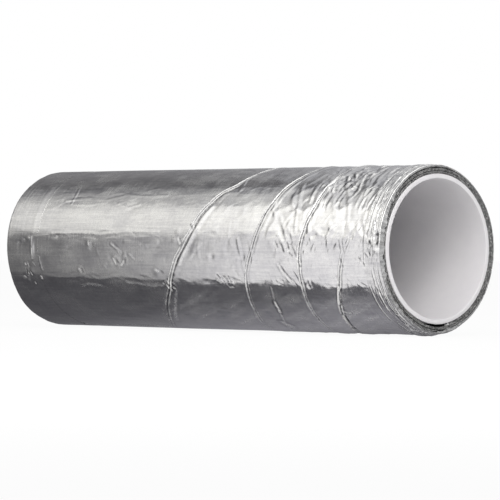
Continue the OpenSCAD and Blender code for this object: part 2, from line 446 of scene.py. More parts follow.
def cut_foam():
    """Dark foam, with its sliced cells open."""
    finish, here, feed = new_finish("cut_foam", (0.12, 0.12, 0.12, 1), Roughness=0.8)
    cells = grain(here, 1.6, 1.6, detail=5, rough=0.75)
    feed("Base Color", ramp(here, cells, [(0.36, (0.025, 0.025, 0.027, 1)), (0.5, (0.13, 0.13, 0.13, 1)),
                                          (0.68, (0.55, 0.55, 0.54, 1))]))
    feed("Roughness", 0.5 + 0.4 * cells)
    feed("Normal", raised(here, cells, 0.8))
    return finish


def spaced(first, last, coarse, fine, fine_from, fine_to):
    """Angles from first to last: in fine steps where they lie between fine_from and fine_to."""
    angles = [first]
    while angles[-1] < last:
        in_fine_part = np.mod(angles[-1] - fine_from, 360) < fine_to - fine_from
        angles.append(min(angles[-1] + (fine if in_fine_part else coarse), last))
    return np.array(angles)


def sheet_rows(buried_step, coarse, fine):
    """Angles wound along the sheet: few on the buried turns and many on the front of the last one."""
    buried = np.arange(0, sheet_sweep - 360, buried_step)
    return np.concatenate([buried, spaced(sheet_sweep - 360, sheet_sweep, coarse, fine,
                                          FRONT_FROM - SHEET_START, FRONT_TO - SHEET_START)])


def on_outer_turn(wound):
    """A share of 1 on the last turn, which alone shows and is dented, and 0 on those below."""
    return ease((wound - sheet_sweep + 380) / 20)


def ragged_reach(wound, around):
    """Where the sheet's knife-cut ends lie: near, then far."""
    uneven = 0.175 + 0.175 * waves(0, around + wound, (1, 25), 3)
    return sheet_half - uneven, sheet_half - (0.35 - uneven)


FOAM_UNDER = 0.8  # the foam gives under the facing, so that no dent brings it through
FOAM_STEP = 0.75  # degrees
TRIMMED = 6  # steps cut off at its first edge
CUT_ROUGHNESS = 0.8
wound = sheet_rows(FOAM_STEP, FOAM_STEP, FOAM_STEP)[TRIMMED:, None]
around = SHEET_START + wound
outer_turn = on_outer_turn(wound)
ends = 1 - np.array([0, 0.003, 0.008, 0.02, 0.05])
run = np.concatenate([-ends, np.linspace(-0.9, 0.9, 12), ends[::-1]])[None, :]
across_cut = np.linspace(0, 1, 10)[None, 1:-1]
reach_near, reach_far = ragged_reach(wound, around)
along_out = np.where(run > 0, run * reach_near, run * reach_far)
foam_in = sheet_radius(wound) + 0 * run
inside_ends = ease((1 - np.abs(run)) / 0.02)
foam_out = foam_in + FOAM_THICKNESS - outer_turn * (lie_below(along_out, around) + FOAM_UNDER * inside_ends)
cut_rough = CUT_ROUGHNESS * np.abs(waves(across_cut * 5, around + wound / 7, (1.3, 2.2), 3))
cut_near = foam_out[:, -1:] + (foam_in[:, -1:] - foam_out[:, -1:]) * across_cut
cut_far = foam_in[:, :1] + (foam_out[:, :1] - foam_in[:, :1]) * across_cut
foam_along = np.concatenate([along_out, reach_near - cut_rough, along_out[:, ::-1],
                             cut_rough - reach_far], 1)
foam_radius = np.concatenate([foam_out, cut_near, foam_in, cut_far], 1)
foam = swept_solid("foam", cut_foam(), around[:, 0], foam_along, foam_radius)
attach(foam, "root")
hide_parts("foam_sheet")

# ---------------------------------------------------------------- Foil facing
# Thin aluminium foil laminated to the outside of the foam and wound with it. On the far part it is the
# skin of the duct: dull, with fine marks round it from the rolls, a few dents, and places painted lighter
# and darker, which are painted highlight and shade, partly wear and dirt.


def paint(piece, name, share):
    """Stores a share from 0 to 1 over the outside of a piece, for its finish to read."""
    points = np.zeros((share.shape[0], len(piece.data.vertices) // share.shape[0]), np.float32)
    points[:, :share.shape[1]] = np.clip(share, 0, 1)
    layer = piece.data.attributes.new(name, "FLOAT", "POINT")
    layer.data.foreach_set("value", points.ravel())


def sheet_section(along, outer, thickness, every=6):
    """Closes each row of a thin sheet: its outside, then a coarser inside one thickness below."""
    picks = np.unique(np.append(np.arange(0, along.shape[1], every), along.shape[1] - 1))
    padded = np.pad(outer, ((0, 0), (every, every)), mode="edge")
    lowest = np.min([padded[:, k:k + outer.shape[1]] for k in range(0, 2 * every + 1)], 0)
    lowest[:, [0, -1]] = outer[:, [0, -1]]
    inside = picks[::-1]
    return (np.concatenate([along, along[:, inside]], 1),
            np.concatenate([outer, lowest[:, inside] - thickness], 1))


def pressed_lines(along, angle, lines):
    """Height of lines folded or scratched into the foil, and the strength of lines painted on it: each is a
    height, a half width and its points.
    """
    distance, down = skin_place(along, angle)
    height = np.zeros(np.broadcast(distance, down).shape)
    for tall, wide, *points in lines:
        path = np.reshape(points, (-1, 2)) * (1.0, DEGREE)
        away = np.full(height.shape, 99.0)
        for (x0, y0), (x1, y1) in zip(path[:-1], path[1:]):
            long, high = x1 - x0, y1 - y0
            share = np.clip(((distance - x0) * long + (down - y0) * high) / (long ** 2 + high ** 2), 0, 1)
            away = np.minimum(away, np.hypot(distance - x0 - share * long, down - y0 - share * high))
        height += tall * (bell(away, 0, wide) - 0.35 * bell(away, 2.2 * wide, wide))
    return height


def creases(along, angle, seed, kinds):
    """Height of short sharp folds strewn over the foil. A kind is how many there are, how tall, how wide and
    how long they are, how they lean from the way round (middle, spread), and the patch that they keep to."""
    chance = np.random.default_rng(seed)
    distance, down = skin_place(along, angle)
    distance, down = np.broadcast_arrays(distance, down)
    height = np.zeros(distance.shape)
    for count, tall, wide, long, (lean, sway), (near, far), (first, last) in kinds:
        for at, round_at, size, turn, sign in zip(
                chance.uniform(near, far, count), chance.uniform(first, last, count) * DEGREE,
                chance.uniform(0.5, 1.3, count), chance.normal(lean, sway, count), chance.random(count)):
            off = np.mod(down - round_at + 180 * DEGREE, 360 * DEGREE) - 180 * DEGREE
            along_it = off * math.cos(turn) + (distance - at) * math.sin(turn)
            across_it = (distance - at) * math.cos(turn) - off * math.sin(turn) + 0.02 * along_it ** 2
            taper = np.maximum(1 - (along_it / (long * size / 2)) ** 2, 0)
            edge = np.maximum(1 - np.abs(across_it) / wide, 0)
            height += (tall if sign < 0.65 else -tall) * size * taper * edge
    return height


def painted_light_and_wear_at(along, angle):
    """The marks painted lighter (above 0) and darker (below 0), fainter in some places than in others:
    painted highlight and shade, partly wear and dirt.
    """
    uneven = np.clip(0.85 + 1.0 * waves(along + 40, angle, (5, 3), 2), 0.2, 1.3)
    return pressed_lines(along, angle, PAINTED_LIGHT_AND_WEAR) * uneven


FIRST_EDGE = 3.1  # degrees at which the facing begins
TURNED_DOWN = 1.4  # degrees over which its first edge is turned down on the cut foam
BARE_COLUMNS = 222
FACING_BARE_FROM = 176  # nearer than this the spiral tape hides the facing
FAR_WIDTH = 45  # the far collar's width, which hides the facing too
SKIN_FOIL = {"tone": 0.71, "dullness": 0.16, "marks": 0.025, "crinkle": 0.3, "scuffed": 0.1, "mottled": 0.3}

# Folds of the bare skin: height, half width, then distance and degrees down the front of every point
SKIN_LINES = [
    (0.14, 1.2, 430, 53, 400, 51, 372, 53, 345, 48, 318, 50, 290, 49), (0.12, 1, 420, 56, 395, 57, 370, 55),
    (0.14, 1.2, 352, 56, 336, 60, 322, 57), (0.1, 1.3, 435, 80, 400, 79, 365, 81, 330, 78, 285, 79),
    (0.14, 1.5, 330, 86, 305, 88, 285, 86), (0.32, 1.2, 402, 120, 390, 118, 376, 119, 366, 121),
    (0.12, 1.4, 335, 116, 318, 117, 300, 119, 283, 118),
    (0.1, 1.6, 460, 112, 430, 113, 400, 112, 370, 114, 340, 111, 310, 114, 280, 113),
    (0.18, 1, 349, 87, 340, 91, 335, 94), (0.2, 0.9, 424, 38, 420, 46, 419, 56),
    (0.15, 0.9, 443, 20, 436, 30, 432, 38), (0.16, 2, 480, 152, 430, 154, 390, 151, 345, 153)]

# Marks painted on the whole skin, lighter above 0 and darker below 0: painted highlight on folds, seams and
# dents and painted shade beside them, partly wear and dirt. Strength, half width and such points
PAINTED_LIGHT_AND_WEAR = [
    (0.5, 0.8, 143, 118, 145, 124, 148, 131), (1.6, 1.1, 148, 131, 149, 137, 151, 141),
    (0.5, 0.8, 151, 141, 155, 148, 160, 155), (0.4, 0.9, 161, 157, 168, 168),
    (1.15, 0.85, 57, 117, 61, 122, 67, 131), (0.7, 0.8, 70, 138, 65, 140, 61, 140),
    (1.25, 0.85, 73, 143, 76, 150, 80, 160), (0.5, 0.9, 81, 162, 85, 168),
    (-0.4, 0.8, 55, 118, 59, 123, 65, 132), (-0.35, 0.8, 71, 144, 74, 151, 78, 160),
    (0.14, 2.2, 104, 110, 105, 124, 108, 140), (0.3, 0.8, 171, 109, 175, 118, 181, 138),
    (0.7, 1, 127, 101, 122, 109), (0.8, 1, 125, 103, 116, 114), (-0.7, 0.9, 123, 103, 114, 112),
    (0.4, 1.1, 236, 80, 245, 90, 256, 102), (0.25, 1.2, 224, 87, 232, 91, 240, 98),
    (0.8, 1.1, 257, 83, 254, 87), (0.6, 0.9, 251, 84, 254, 87), (-0.9, 1, 243, 73, 239, 76),
    (1, 0.9, 281, 118, 279, 120), (0.8, 0.7, 285, 116, 284, 117), (1, 0.9, 277, 121, 276, 122),
    (-0.8, 1, 279, 116, 277, 118), (-0.7, 0.9, 272, 117, 270, 119), (0.7, 0.8, 273, 120, 271, 120),
    (-0.3, 1.3, 280, 121, 293, 134, 304, 144, 314, 153), (0.3, 1.3, 270, 122, 283, 135, 296, 147, 304, 156),
    (0.8, 0.9, 381, 86, 380, 88), (-0.5, 1, 378, 88, 377, 90), (0.5, 0.7, 349, 87, 340, 91, 336, 95),
    (-0.4, 0.8, 346, 86, 338, 90), (0.9, 0.8, 346, 98, 343, 102), (0.9, 0.9, 332, 100, 336, 103),
    (-0.7, 1, 342, 98, 339, 101), (-0.6, 1, 329, 98, 330, 101), (0.8, 1, 397, 106, 395, 108),
    (-0.6, 1, 393, 106, 392, 108), (0.7, 0.9, 360, 103, 358, 105), (0.5, 0.9, 324, 94, 320, 96, 317, 98),
    (0.8, 1.2, 290, 106, 287, 107), (-0.6, 1.1, 283, 107, 281, 108), (0.6, 0.8, 463, 82, 462, 98),
    (0.6, 0.8, 452, 97, 450, 107), (0.6, 0.7, 470, 101, 469, 105), (0.5, 0.7, 472, 109, 471, 110),
    (0.7, 0.7, 462, 101, 460, 103), (0.7, 0.8, 468, 109, 467, 111), (0.5, 0.7, 474, 102, 473, 103),
    (-0.5, 1, 472, 104, 473, 110), (0.7, 0.8, 455, 112, 454, 114), (0.7, 0.8, 467, 117, 466, 118),
    (0.5, 0.8, 479, 112, 477, 113), (0.4, 0.9, 474, 84, 472, 86), (0.4, 0.9, 482, 86, 480, 87),
    (0.5, 0.9, 427, 82, 425, 82), (0.26, 0.8, 400, 120, 390, 118, 376, 119, 369, 120),
    (0.24, 0.8, 335, 116, 318, 117, 300, 119, 285, 118), (0.8, 0.8, 210, 113, 206, 115),
    (-0.8, 0.8, 208, 109, 205, 112), (-0.7, 0.7, 203, 111, 201, 115), (0.8, 0.9, 201, 112, 198, 116),
    (0.5, 0.6, 199, 117, 195, 119, 191, 118), (-0.7, 0.6, 197, 111, 195, 115),
    (0.8, 0.6, 196, 111, 194, 115), (-0.7, 0.6, 194, 110, 192, 114), (0.6, 0.7, 192, 112, 190, 116),
    (-0.4, 0.9, 185, 112, 177, 114), (0.8, 2.2, 162, 155, 158, 160, 160, 163),
    (-0.8, 0.9, 129, 85, 126, 89), (-0.9, 1.1, 121, 87, 118, 92), (-0.8, 0.9, 114, 86, 112, 90),
    (-0.7, 0.9, 111, 93, 108, 95), (-0.8, 1, 105, 91, 103, 95), (-0.6, 0.9, 101, 99, 99, 102),
    (-0.6, 0.8, 50, 84, 47, 92), (-0.6, 0.8, 46, 84, 43, 92), (-0.5, 0.8, 48, 97, 46, 102),
    (-0.8, 0.9, 26, 96, 23, 98), (-0.6, 0.8, 21, 99, 19, 101), (-0.8, 1, 14, 90, 11, 94),
    (-0.9, 1.1, 12, 85, 9, 88), (-0.7, 0.9, 18, 93, 15, 95), (-0.9, 1.8, 4, 80, 3, 86),
    (0.9, 1.5, 5, 90, 2, 91), (-0.8, 1.3, 76, 30, 70, 37, 65, 44), (-0.7, 1.2, 71, 26, 64, 33),
    (-0.6, 1, 79, 38, 74, 46), (0.7, 0.9, 73, 30, 68, 36), (0.6, 0.9, 66, 27, 60, 35),
    (-0.5, 1, 61, 40, 53, 44), (0.7, 1.3, 53, 30, 49, 38, 45, 46, 50, 56),
    (0.6, 1.6, 45, 12, 42, 22, 46, 33), (0.5, 1.4, 30, 14, 27, 25), (0.5, 1.2, 21, 20, 19, 50)]

# Slight folds strewn over it: count, height, half width, length, lean, distances, degrees down the front
SKIN_CREASES = [
    (8, 0.06, 1.6, 22, (0, 0.25), (190, 455), (-170, 80)),
    (16, 0.12, 1.6, 10, (0, 0.6), (200, 455), (84, 108)),
    (50, 0.09, 1.3, 40, (1.57, 0.08), (200, 450), (44, 58)),
    (34, 0.1, 1.3, 40, (1.57, 0.08), (200, 450), (76, 92)),
    (34, 0.12, 1.3, 44, (1.57, 0.08), (200, 450), (107, 121)),
    (26, 0.1, 1.8, 50, (1.57, 0.08), (200, 450), (140, 175)),
    (20, 0.1, 1.8, 44, (1.57, 0.08), (200, 450), (8, 44))]

first_rows = FIRST_EDGE + np.array([0, 0.8, TURNED_DOWN])
wound = np.concatenate([first_rows, sheet_rows(buried_step=10, coarse=3, fine=0.85)[1:]])[:, None]
around = SHEET_START + wound
outer_turn = on_outer_turn(wound)
under_collar = 1 - (FAR_WIDTH - 4) / half_length
bare = np.linspace(-under_collar, 1 - FACING_BARE_FROM / half_length, BARE_COLUMNS)
run = np.concatenate([np.linspace(-1, -under_collar, 12)[:-1], bare,
                      np.linspace(bare[-1], 1, 14)[1:]])[None, :]
reach_near, reach_far = ragged_reach(wound, around)
ragged = 0.35 * waves(3, around, (1, 3), 3)
along_out = np.where(run > 0, run * (reach_near + ragged), run * reach_far)
bare_skin = ease((half_length + sheet_half - FAR_WIDTH - 2 - skin_place(along_out, around)[0]) / 12)
folded = pressed_lines(along_out, around, SKIN_LINES) + creases(along_out, around, 3, SKIN_CREASES)
facing_out = (sheet_radius(wound) + sheet_thickness
              - outer_turn * (lie_below(along_out, around) - bare_skin * folded))
turned_down = ease((FIRST_EDGE + TURNED_DOWN - wound) / 0.3) * (FOAM_THICKNESS - 0.1)
facing = swept_solid("facing", foil("facing_foil", **SKIN_FOIL), around[:, 0],
                     *sheet_section(along_out, facing_out, FACING_THICKNESS + turned_down, 8))
# Lighter and darker marks painted on the skin: painted highlight and shade, partly wear and dirt. Its
# turned-down first edge is painted a dull white all over, a painted highlight that shows as a bright tick on
# the end of the wrap.
painted_light_and_wear = painted_light_and_wear_at(along_out, around) * outer_turn
paint(facing, "rubbed", 0.85 * painted_light_and_wear + (wound < FIRST_EDGE + TURNED_DOWN))
paint(facing, "grimy", -0.75 * painted_light_and_wear)
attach(facing, "root")
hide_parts("foil_facing")

# ---------------------------------------------------------------- Closing tape
# A lengthwise strip of foil tape that holds the sheet's last edge down. It runs underneath the duct, and
# slopes down from that edge to the turn below.

CLOSING_ROWS, CLOSING_COLUMNS = 34, 240
rows = np.linspace(sheet_end - CLOSING_HALF_ARC, sheet_end + CLOSING_HALF_ARC, CLOSING_ROWS)[:, None]
run = np.linspace(-sheet_half, sheet_half, CLOSING_COLUMNS)[None, :]
closing_out = cover_radius(rows) + LAY_GAP + TAPE_THICKNESS - lie_below(run, rows)
closing_foil = foil("closing_foil", tone=0.8, dullness=0.18, marks=0.03, crinkle=0.5, scuffed=0.1)
closing = swept_solid("closing", closing_foil, rows[:, 0],
                      *sheet_section(run + 0 * rows, closing_out, TAPE_THICKNESS))
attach(closing, "root")
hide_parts("closing_tape")

# ---------------------------------------------------------------- Spiral tape
# One long strip of soft aluminium tape, wound by hand from the middle to the near end. Every turn laps the
# one before it, and its free edge stands up in a double welt where it was smoothed down.

# Free edge of the tape: angle wound from the top, distance from the near end
TAPE_EDGE = np.array([
    (50, 15), (85, 42), (97, 49), (105, 52.5), (117, 58.5), (130, 67.5), (142, 74.5), (167, 85),
    (391, 86.5), (420, 90.5), (435, 96), (450, 100.5), (478, 104.5), (514, 112), (745, 130), (765, 141),
    (777, 145.5), (783, 149), (795, 153.5), (810, 160.5), (827, 171), (837, 175), (858, 182), (874, 190),
    (1095, 191.5), (1110, 201), (1120, 208.5), (1126, 219), (1140, 232), (1148, 238), (1155, 241.5),
    (1168, 253), (1177, 262), (1193, 275.5), (1200, 280), (1215, 296.5), (1250, 329)], float)
TAPE_LAP = 10
EDGE_ROUND = 74  # radius at which the slope of the free edge is taken
WELT_WIDTH = 7.2  # the strip along the free edge that holds the two pleats, modelled finely
NEAREST_RIM = 0.3  # how close the first turn's other edge comes to the near rim
tape_first, tape_last = TAPE_EDGE[0, 0], TAPE_EDGE[-1, 0]


def edge_at(turned):
    return np.interp(turned, TAPE_EDGE[:, 0], TAPE_EDGE[:, 1])


def clouds(along, angle):
    """Soft paler streaks painted low down on the front."""
    low = ease((skin_place(along, angle)[1] - 118 * DEGREE) / 12)
    return low * np.maximum(0.2 * waves(along + 700, angle + 0.35 * along, (60, 9), 3), 0)


def within_box(radius, angle):
    """No crease may stand out past the duct's overall size."""
    y, z = np.cos(np.radians(angle)), np.sin(np.radians(angle))
    reach_y = np.where(y > 0, cad_box[1].y, -cad_box[0].y) / MM / np.maximum(np.abs(y), 1e-3)
    reach_z = np.where(z > 0, cad_box[1].z, -cad_box[0].z) / MM / np.maximum(np.abs(z), 1e-3)
    return np.minimum(radius, np.minimum(reach_y, reach_z) - 0.02)


# How far the two pleats along the free edge stand up: angle wound, outer pleat, inner pleat
PLEATS = np.array([
    (50, 0, 0), (90, 0.1, 0), (98, 0.6, 0.3), (106, 1.1, 0.9), (160, 1.1, 0.9), (180, 0.6, 0.4),
    (350, 0.3, 0.2), (372, 0.4, 0.2), (390, 0.6, 0.3), (402, 1.1, 0.7), (430, 1.3, 1), (470, 1.1, 0.9),
    (486, 0.4, 0.3), (520, 0.4, 0.3), (715, 0.3, 0.1), (738, 0.6, 0.1), (748, 1.2, 0.3), (782, 1.1, 0.5),
    (800, 0.5, 0.4), (832, 0.5, 0.3), (862, 0.4, 0.2), (900, 0.2, 0.1), (1075, 0.3, 0.1), (1093, 1.1, 0.2),
    (1119, 1.2, 0.3), (1124, 1.3, 1.2), (1190, 1.4, 1.2), (1212, 0.7, 0.6), (1250, 0.5, 0.3)])

# Folds and scratches of the tape, in the same terms as the skin's
TAPE_LINES = [
    (0.35, 2.2, 222, 60, 231, 72, 243, 87, 256, 100, 265, 108), (0.3, 1.3, 143, 125, 148, 141, 158, 157),
    (0.3, 1.2, 92, 93, 91, 103, 93, 116), (0.3, 0.9, 112, 98, 107, 106, 103, 113),
    (0.25, 0.9, 118, 102, 112, 111, 107, 117), (0.22, 0.9, 124, 103, 118, 113),
    (0.3, 1.2, 178, 84, 173, 96, 171, 108), (0.2, 1.2, 162, 86, 158, 98), (0.25, 1.3, 205, 22, 196, 45),
    (0.25, 1, 78, 85, 83, 91), (0.25, 1, 87, 86, 92, 93), (0.25, 1, 97, 85, 101, 91),
    (0.2, 0.9, 35, 84, 42, 94), (0.2, 0.9, 31, 82, 37, 92), (0.2, 0.9, 22, 95, 27, 104),
    (0.25, 1.6, 60, 44, 48, 58, 44, 70), (0.25, 1.6, 36, 20, 30, 45, 28, 62), (0.25, 1.5, 100, 45, 98, 56),
    (0.2, 1.5, 120, 40, 110, 60, 106, 78), (0.25, 1.8, 140, 62, 128, 68, 118, 80, 112, 88),
    (0.2, 1.6, 78, 100, 72, 110), (0.2, 1.4, 60, 98, 56, 108), (0.18, 1.5, 230, 138, 200, 142, 180, 140),
    (0.18, 1.5, 60, 130, 30, 138, 15, 150)]

# Sharp folds strewn over it, in the same terms as the skin's
TAPE_CREASES = [
    (110, 0.22, 1.6, 16, (0, 0.5), (0, 140), (-180, 180)),
    (40, 0.12, 1.6, 26, (0, 0.3), (130, 230), (-180, 180)),
    (70, 0.5, 1.6, 26, (0.1, 0.2), (0, 85), (2, 60)), (80, 0.4, 1.2, 5, (0, 0.7), (46, 100), (14, 46)),
    (90, 0.36, 1.1, 6, (0, 1), (10, 130), (80, 99)), (46, 0.36, 1.1, 9, (0, 0.7), (15, 215), (98, 119)),
    (60, 0.24, 1.3, 22, (0, 0.25), (0, 180), (116, 180)), (30, 0.4, 3.4, 22, (0, 0.6), (10, 150), (56, 84)),
    (40, 0.1, 1.3, 40, (1.57, 0.08), (130, 280), (40, 170))]

# The strip's grid: rows along its course, and columns from its free edge inward
turned = spaced(tape_first, tape_last, coarse=3, fine=0.95, fine_from=-5, fine_to=185)[:, None]
around = turned + TOP_ANGLE
far_edge = edge_at(turned)
near_edge = np.where(turned - 360 < tape_first - 6, NEAREST_RIM, edge_at(turned - 360) - TAPE_LAP)
fine_part = np.linspace(0, WELT_WIDTH, 17)
share = np.linspace(0, 1, 58)[1:]
inward = np.concatenate([fine_part + 0 * turned,
                         WELT_WIDTH + share * (far_edge - near_edge - WELT_WIDTH)], 1)
inward = np.minimum(inward, far_edge - near_edge)
along_out = sheet_half - (far_edge - inward)
slope = np.gradient(far_edge[:, 0], np.radians(turned[:, 0]) * EDGE_ROUND)[:, None]
lapped = (turned < tape_last - 360) * ease((TAPE_LAP + 1 - inward) / 2)

# Crumples, deepest on one crushed patch (distance, degrees down the front), and pleats on the free edge
CRUSHED_AT, CRUSHED_DOWN = 65, 34
DEEPEST_CRUMPLE = 1.2
distance, down = skin_place(along_out, around)
patch_down = down - CRUSHED_DOWN * DEGREE
patch = bell(distance + 0.4 * patch_down, CRUSHED_AT, 12) * bell(patch_down, 0, 17)
sharp = np.abs(waves(along_out + 300, around, (7, 5), 3))
soft = np.abs(waves(along_out, around, (24, 17), 2))
crumple = (0.2 + 0.6 * ease((155 - distance) / 40)) * soft + (0.08 + 1.6 * patch) * sharp
crumple = np.minimum(crumple, DEEPEST_CRUMPLE)
across = inward / np.sqrt(1 + slope ** 2)
uneven = 0.8 + 0.5 * waves(0, turned * 2, (1, 22), 3)
outer_pleat = uneven * np.interp(turned, PLEATS[:, 0], PLEATS[:, 1])
inner_pleat = uneven * np.interp(turned, PLEATS[:, 0], PLEATS[:, 2])
welt = (0.6 * outer_pleat * bell(across, 1.0, 0.55) + 0.55 * inner_pleat * bell(across, 4.0, 0.7)
        - 0.3 * outer_pleat * bell(across, 2.4, 0.6) - 0.2 * inner_pleat * bell(across, 5.6, 0.7))
folded = creases(along_out, around, 5, TAPE_CREASES)
tape_out = (skin_radius(around) + TAPE_THICKNESS + lapped * (TAPE_THICKNESS + LAY_GAP)
            - lie(along_out, around) - crumple + pressed_lines(along_out, around, TAPE_LINES)
            + folded + welt)
tape_out = within_box(tape_out, around)
spiral_foil = foil("spiral_foil", tone=0.95, dullness=0.11, marks=0.02, crinkle=0.6, scuffed=0.1,
                   mottled=0.34)
spiral = swept_solid("spiral", spiral_foil, around[:, 0],
                     *sheet_section(along_out, tape_out, TAPE_THICKNESS))

# Painted highlight on the pleats and on the tops of the folds; painted shade beside the pleats, just past
# the free edge, in the hollows of the folds and in the crumples of the crushed patch; darker away from the
# near end; the skin's marks too
blotch = 0.95 + 0.6 * waves(0, turned * 3 + 90, (1, 9), 3)
painted_light_and_wear = painted_light_and_wear_at(along_out, around)
pleat_highlight = 1.2 * outer_pleat * bell(across, 1.0, 0.7) + 1.1 * inner_pleat * bell(across, 4.0, 0.75)
pleat_shade = (1.0 * outer_pleat * (bell(across, 2.4, 0.6) + 0.8 * bell(across, -0.3, 0.5))
             + 0.9 * inner_pleat * bell(across, 5.4, 0.6))
soft_under = 1 - 0.6 * ease((turned - 1200) / 20)
darker_away_from_near_end = 0.09 * ease((distance - 85) / 50)
paint(spiral, "rubbed", blotch * pleat_highlight * soft_under + painted_light_and_wear + np.maximum(1.4 * (folded - 0.32), 0)
      + clouds(along_out, around))
paint(spiral, "grimy", (1.9 - blotch) * pleat_shade - painted_light_and_wear + np.maximum(-1.6 * (folded + 0.2), 0)
      + np.maximum(1.2 * patch * (sharp - 0.25), 0) + darker_away_from_near_end)
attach(spiral, "root")
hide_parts("spiral_tape")

# ---------------------------------------------------------------- Collars
# A ring of foil tape round each end, pressed over the wrap's edge and turned in over its cut face. The
# fingers that pressed it down have left creases that run round the duct.

NEAR_WIDTH = 20
COLLAR_STEPS = 480


def collar(name, finish, side, width, layers, folds, steps, turned_in, thinned_over):
    """A ring of tape of some width, over so many layers. Its outline at each angle is the outside from the
    inner edge to the rim, the lip that is turned in over the cut face, and back underneath.
    """
    rows = ring_angles(COLLAR_STEPS)[:, None]
    flat = np.linspace(width, SHOULDER, steps)
    bend = np.radians(np.linspace(0, 90, 9))[1:]
    inset = np.concatenate([flat, SHOULDER - SHOULDER * np.sin(bend)])[None, :] + 0 * rows
    outside = skin_radius(rows) + layers * (TAPE_THICKNESS + LAY_GAP) + TAPE_THICKNESS
    along_out = side * (collar_half - inset)
    pinched = 0.3 * np.abs(waves(side, rows, (1, 6), 3)) * (1 - ease(inset / 2.5))
    at_edge = 1 - ease((width - inset) / thinned_over)
    bridged = np.clip(skin_radius(rows) - cover_radius(rows) - LAY_GAP, 0, 1)
    beside_tape = np.abs(angle_away(rows, sheet_end)) > CLOSING_HALF_ARC + 1
    pressed_down = (TAPE_THICKNESS - 0.09) * at_edge
    outside = outside - bridged * beside_tape * at_edge
    raised_rings = 0.22 * ring_lines(inset, rows) if side > 0 else 0
    height = within_box(outside - lie(along_out, rows) + folds(inset, rows) * ease(inset / 3) - pinched
                        - pressed_down + raised_rings, rows)
    share = np.linspace(0, 1, 7)[None, 1:]
    lip = height[:, -1:] - share * turned_in(rows)
    puckered = 0.35 * np.abs(waves(side + 2 * share, rows, (1, 4), 3)) * ease(share * 3)
    lip_along = along_out[:, -1:] - side * puckered
    along_all = np.concatenate([along_out, lip_along, lip_along[:, ::-1] - side * TAPE_THICKNESS,
                                along_out[:, -5::-1] + 0 * rows], 1)
    inside = height + pressed_down - TAPE_THICKNESS
    radius_all = np.concatenate([height, lip, lip[:, ::-1], inside[:, -5::-1]], 1)
    if side < 0:
        along_all, radius_all = along_all[:, ::-1], radius_all[:, ::-1]
    piece = swept_solid(name, finish, rows[:, 0], along_all, radius_all, closed=True)
    on_lip = ease((np.arange(height.shape[1] + lip.shape[1]) - height.shape[1] + 6) / 3)[None, :]
    blotch = 0.5 + 0.7 * waves(np.linspace(0, 9, on_lip.shape[1])[None, :], rows, (2.2, 2.6), 3)
    # Painted on the collar: highlight and shade along the ring creases, the skin's lighter and darker marks,
    # and a blotchy grey over the turned-in lip
    marked_light_and_wear = painted_light_and_wear_at(along_out, rows) + (ring_lines(inset, rows) if side > 0 else 0)
    marked_light_and_wear = np.pad(marked_light_and_wear, ((0, 0), (0, lip.shape[1])))
    rubbed = on_lip * 0.5 * blotch + (1 - on_lip) * marked_light_and_wear
    grimy = on_lip * (0.15 + 0.6 * blotch) - (1 - on_lip) * marked_light_and_wear
    if side < 0:
        hidden = along_all.shape[1] - on_lip.shape[1]
        rubbed, grimy = (np.pad(marks[:, ::-1], ((0, 0), (hidden, 0))) for marks in (rubbed, grimy))
    paint(piece, "rubbed", rubbed)
    paint(piece, "grimy", grimy)
    return piece


RING_LINES = [0.8, 2.6, 4.4, 7.0, 9.8, 13.0, 17.5]  # distances of the creases pressed in parallel to the rim


def ring_lines(inset, rows):
    """Creases that run round next to the rim: painted highlight on them (above 0) and painted shade beside
    them (below 0), fainter about 88 degrees down the front and stronger low down.
    """
    shade = np.zeros(np.broadcast(inset, rows).shape)
    for k, at in enumerate(RING_LINES):
        wander = at + 0.9 * waves(7 * k, rows, (1, 60), 3)
        strength = ease(0.6 + 1.8 * waves(11 * k, rows, (1, 30), 2))
        shade += strength * (bell(inset, wander, 0.45) - 0.8 * bell(inset, wander + 0.95, 0.45))
    down = angle_away(rows, TOP_ANGLE)
    return shade * (1 - 0.75 * bell(down, 88, 12) + 0.8 * bell(down, 140, 25))


def near_lip(rows):
    """The near collar is turned in widest at the front and over the sheet's last edge."""
    down = angle_away(rows, TOP_ANGLE)
    wide = 0.5 + 4.8 * bell(down, 84, 32) + 1.6 * bell(down, 140, 20) + 1.7 * bell(down, -168, 18)
    return wide * (1 + 0.6 * waves(1, rows, (1, 7), 3))


def far_lip(rows):
    """The far collar is turned in evenly."""
    return 1.4 * (1 + 0.4 * waves(2, rows, (1, 9), 3))


# Sharp folds strewn over it, in the same terms as the skin's
COLLAR_CREASES = [
    (70, 0.35, 1, 40, (0, 0.06), (1, 19), (-180, 180)), (40, 0.35, 0.9, 34, (0, 0.04), (1, 14), (100, 175)),
    (24, 0.4, 1.1, 8, (0, 0.8), (2, 19), (78, 96))]


def near_creases(inset, rows):
    """Rings round the rim, soft crumples and sharp folds, fading out at both edges of the collar."""
    fade = ease(inset / 3) * ease((22 - inset) / 6)
    rings = 1 - np.minimum(4 * np.abs(waves(inset, rows, (3.2, 110), 3)), 1)
    strewn = creases(half_length - inset, rows, 8, COLLAR_CREASES)
    return fade * (0.3 * rings ** 2 - 0.3 * np.abs(waves(inset, rows, (6, 9), 3)) + strewn)


def far_creases(inset, rows):
    """Faint rings, fading out at its inner edge."""
    return 0.04 * waves(inset, rows, (2.5, 60), 3) * ease((FAR_WIDTH - inset) / 8)


near_foil = foil("near_collar_foil", tone=0.95, dullness=0.12, marks=0.03, crinkle=0.5, scuffed=0.1,
                 mottled=0.45)
near_collar = collar("collar_near", near_foil, side=1, width=NEAR_WIDTH, layers=2, folds=near_creases,
                     steps=50, turned_in=near_lip, thinned_over=1.5)
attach(near_collar, "root")
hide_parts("near_collar")

